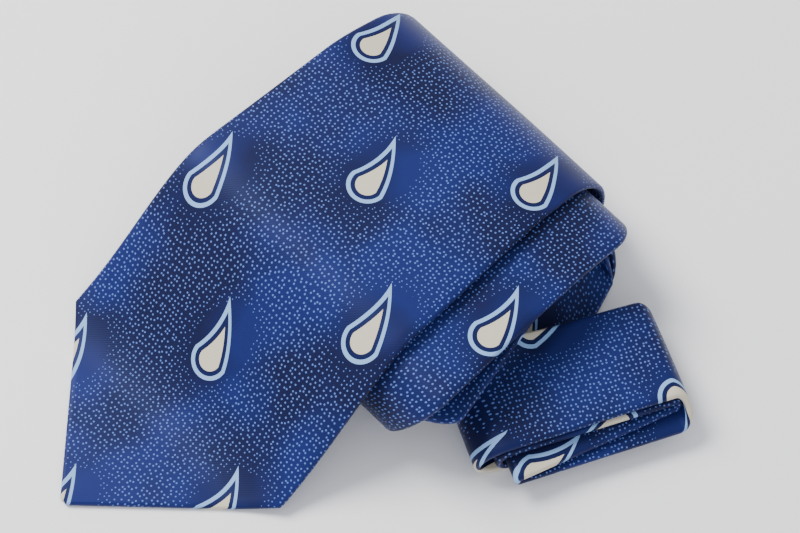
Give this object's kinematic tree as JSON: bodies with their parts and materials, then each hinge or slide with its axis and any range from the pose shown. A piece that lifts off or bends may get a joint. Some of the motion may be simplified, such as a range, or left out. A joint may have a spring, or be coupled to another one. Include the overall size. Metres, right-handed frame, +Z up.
{
  "type": "necktie",
  "caption": "Silk necktie folded in half at the neck and rolled up, its wide pointed blade on top and hanging over the front, the neck layers beside the roll.",
  "frame": {"origin": "middle of the bounding box in plan, on the table under the roll", "axes": "+X along the wide blade from its point to the far folds, +Y across it away from the neck layers, +Z up"},
  "size_m": [0.1876, 0.1626, 0.0326],
  "materials": {
    "silk": "navy silk jacquard with pale blue dots and paisleys, satin sheen",
    "wool": "undyed wool interlining, matt",
    "lining": "cream acetate lining, light sheen",
    "thread": "navy sewing thread",
    "label": "dark woven label, blank",
    "care": "white satin label, blank"
  },
  "bodies": {
    "roll": {"turn1_bottom_silk": "silk", "turn1_bottom_interlining": "wool", "turn1_bottom_stitch": "thread", "turn2_top_silk": "silk", "turn2_top_interlining": "wool", "turn2_top_stitch": "thread", "turn2_bottom_silk": "silk", "turn2_bottom_interlining": "wool", "turn2_bottom_stitch": "thread", "turn3_top_silk": "silk", "turn3_top_interlining": "wool", "turn3_top_stitch": "thread", "turn3_bottom_silk": "silk", "turn3_bottom_interlining": "wool", "turn3_bottom_stitch": "thread", "bundle_fold_silk": "silk", "bundle_fold_interlining": "wool", "bundle_fold_stitch": "thread", "tail_turn3_bottom_silk": "silk", "tail_turn3_bottom_interlining": "wool", "tail_turn3_bottom_stitch": "thread", "tail_turn3_top_silk": "silk", "tail_turn3_top_interlining": "wool", "tail_turn3_top_stitch": "thread", "tail_turn2_bottom_silk": "silk", "tail_turn2_bottom_interlining": "wool", "tail_turn2_bottom_stitch": "thread", "tail_turn2_top_silk": "silk", "tail_turn2_top_interlining": "wool", "tail_turn2_top_stitch": "thread", "tail_end_silk": "silk", "tail_end_interlining": "wool", "tail_end_stitch": "thread", "tail_tipping": "lining"},
    "blade": {"blade_silk": "silk", "blade_interlining": "wool", "blade_stitch": "thread", "maker_label": "label", "keeper_loop": "silk"},
    "blade_point": {"blade_point_silk": "silk", "blade_point_interlining": "wool", "blade_point_stitch": "thread", "blade_tipping": "lining", "blade_bar_tack": "thread", "care_label": "care"},
    "neck_bundle": {"neck_top_silk": "silk", "neck_top_interlining": "wool", "neck_top_stitch": "thread", "neck_under_silk": "silk", "neck_under_interlining": "wool", "neck_under_stitch": "thread", "neck_return_silk": "silk", "neck_return_interlining": "wool", "neck_return_stitch": "thread", "neck_inner_silk": "silk", "neck_inner_interlining": "wool", "neck_inner_stitch": "thread"}
  },
  "joints": [
    {"name": "front_blade_lift", "type": "hinge", "parent": "roll", "child": "blade", "pos_m": [0.07745, 0.03381, 0.0326], "axis": [0, 1, 0], "range_deg": [0, 165]},
    {"name": "blade_point_lift", "type": "hinge", "parent": "blade", "child": "blade_point", "pos_m": [0.00775, 0.03381, 0.0326], "axis": [0, 1, 0], "range_deg": [0, 90]},
    {"name": "neck_bundle_lift", "type": "hinge", "parent": "roll", "child": "neck_bundle", "pos_m": [0.01875, -0.03577, 0.01787], "axis": [-0.4162, -0.8926, -0.1732], "range_deg": [0, 15]}
  ]
}
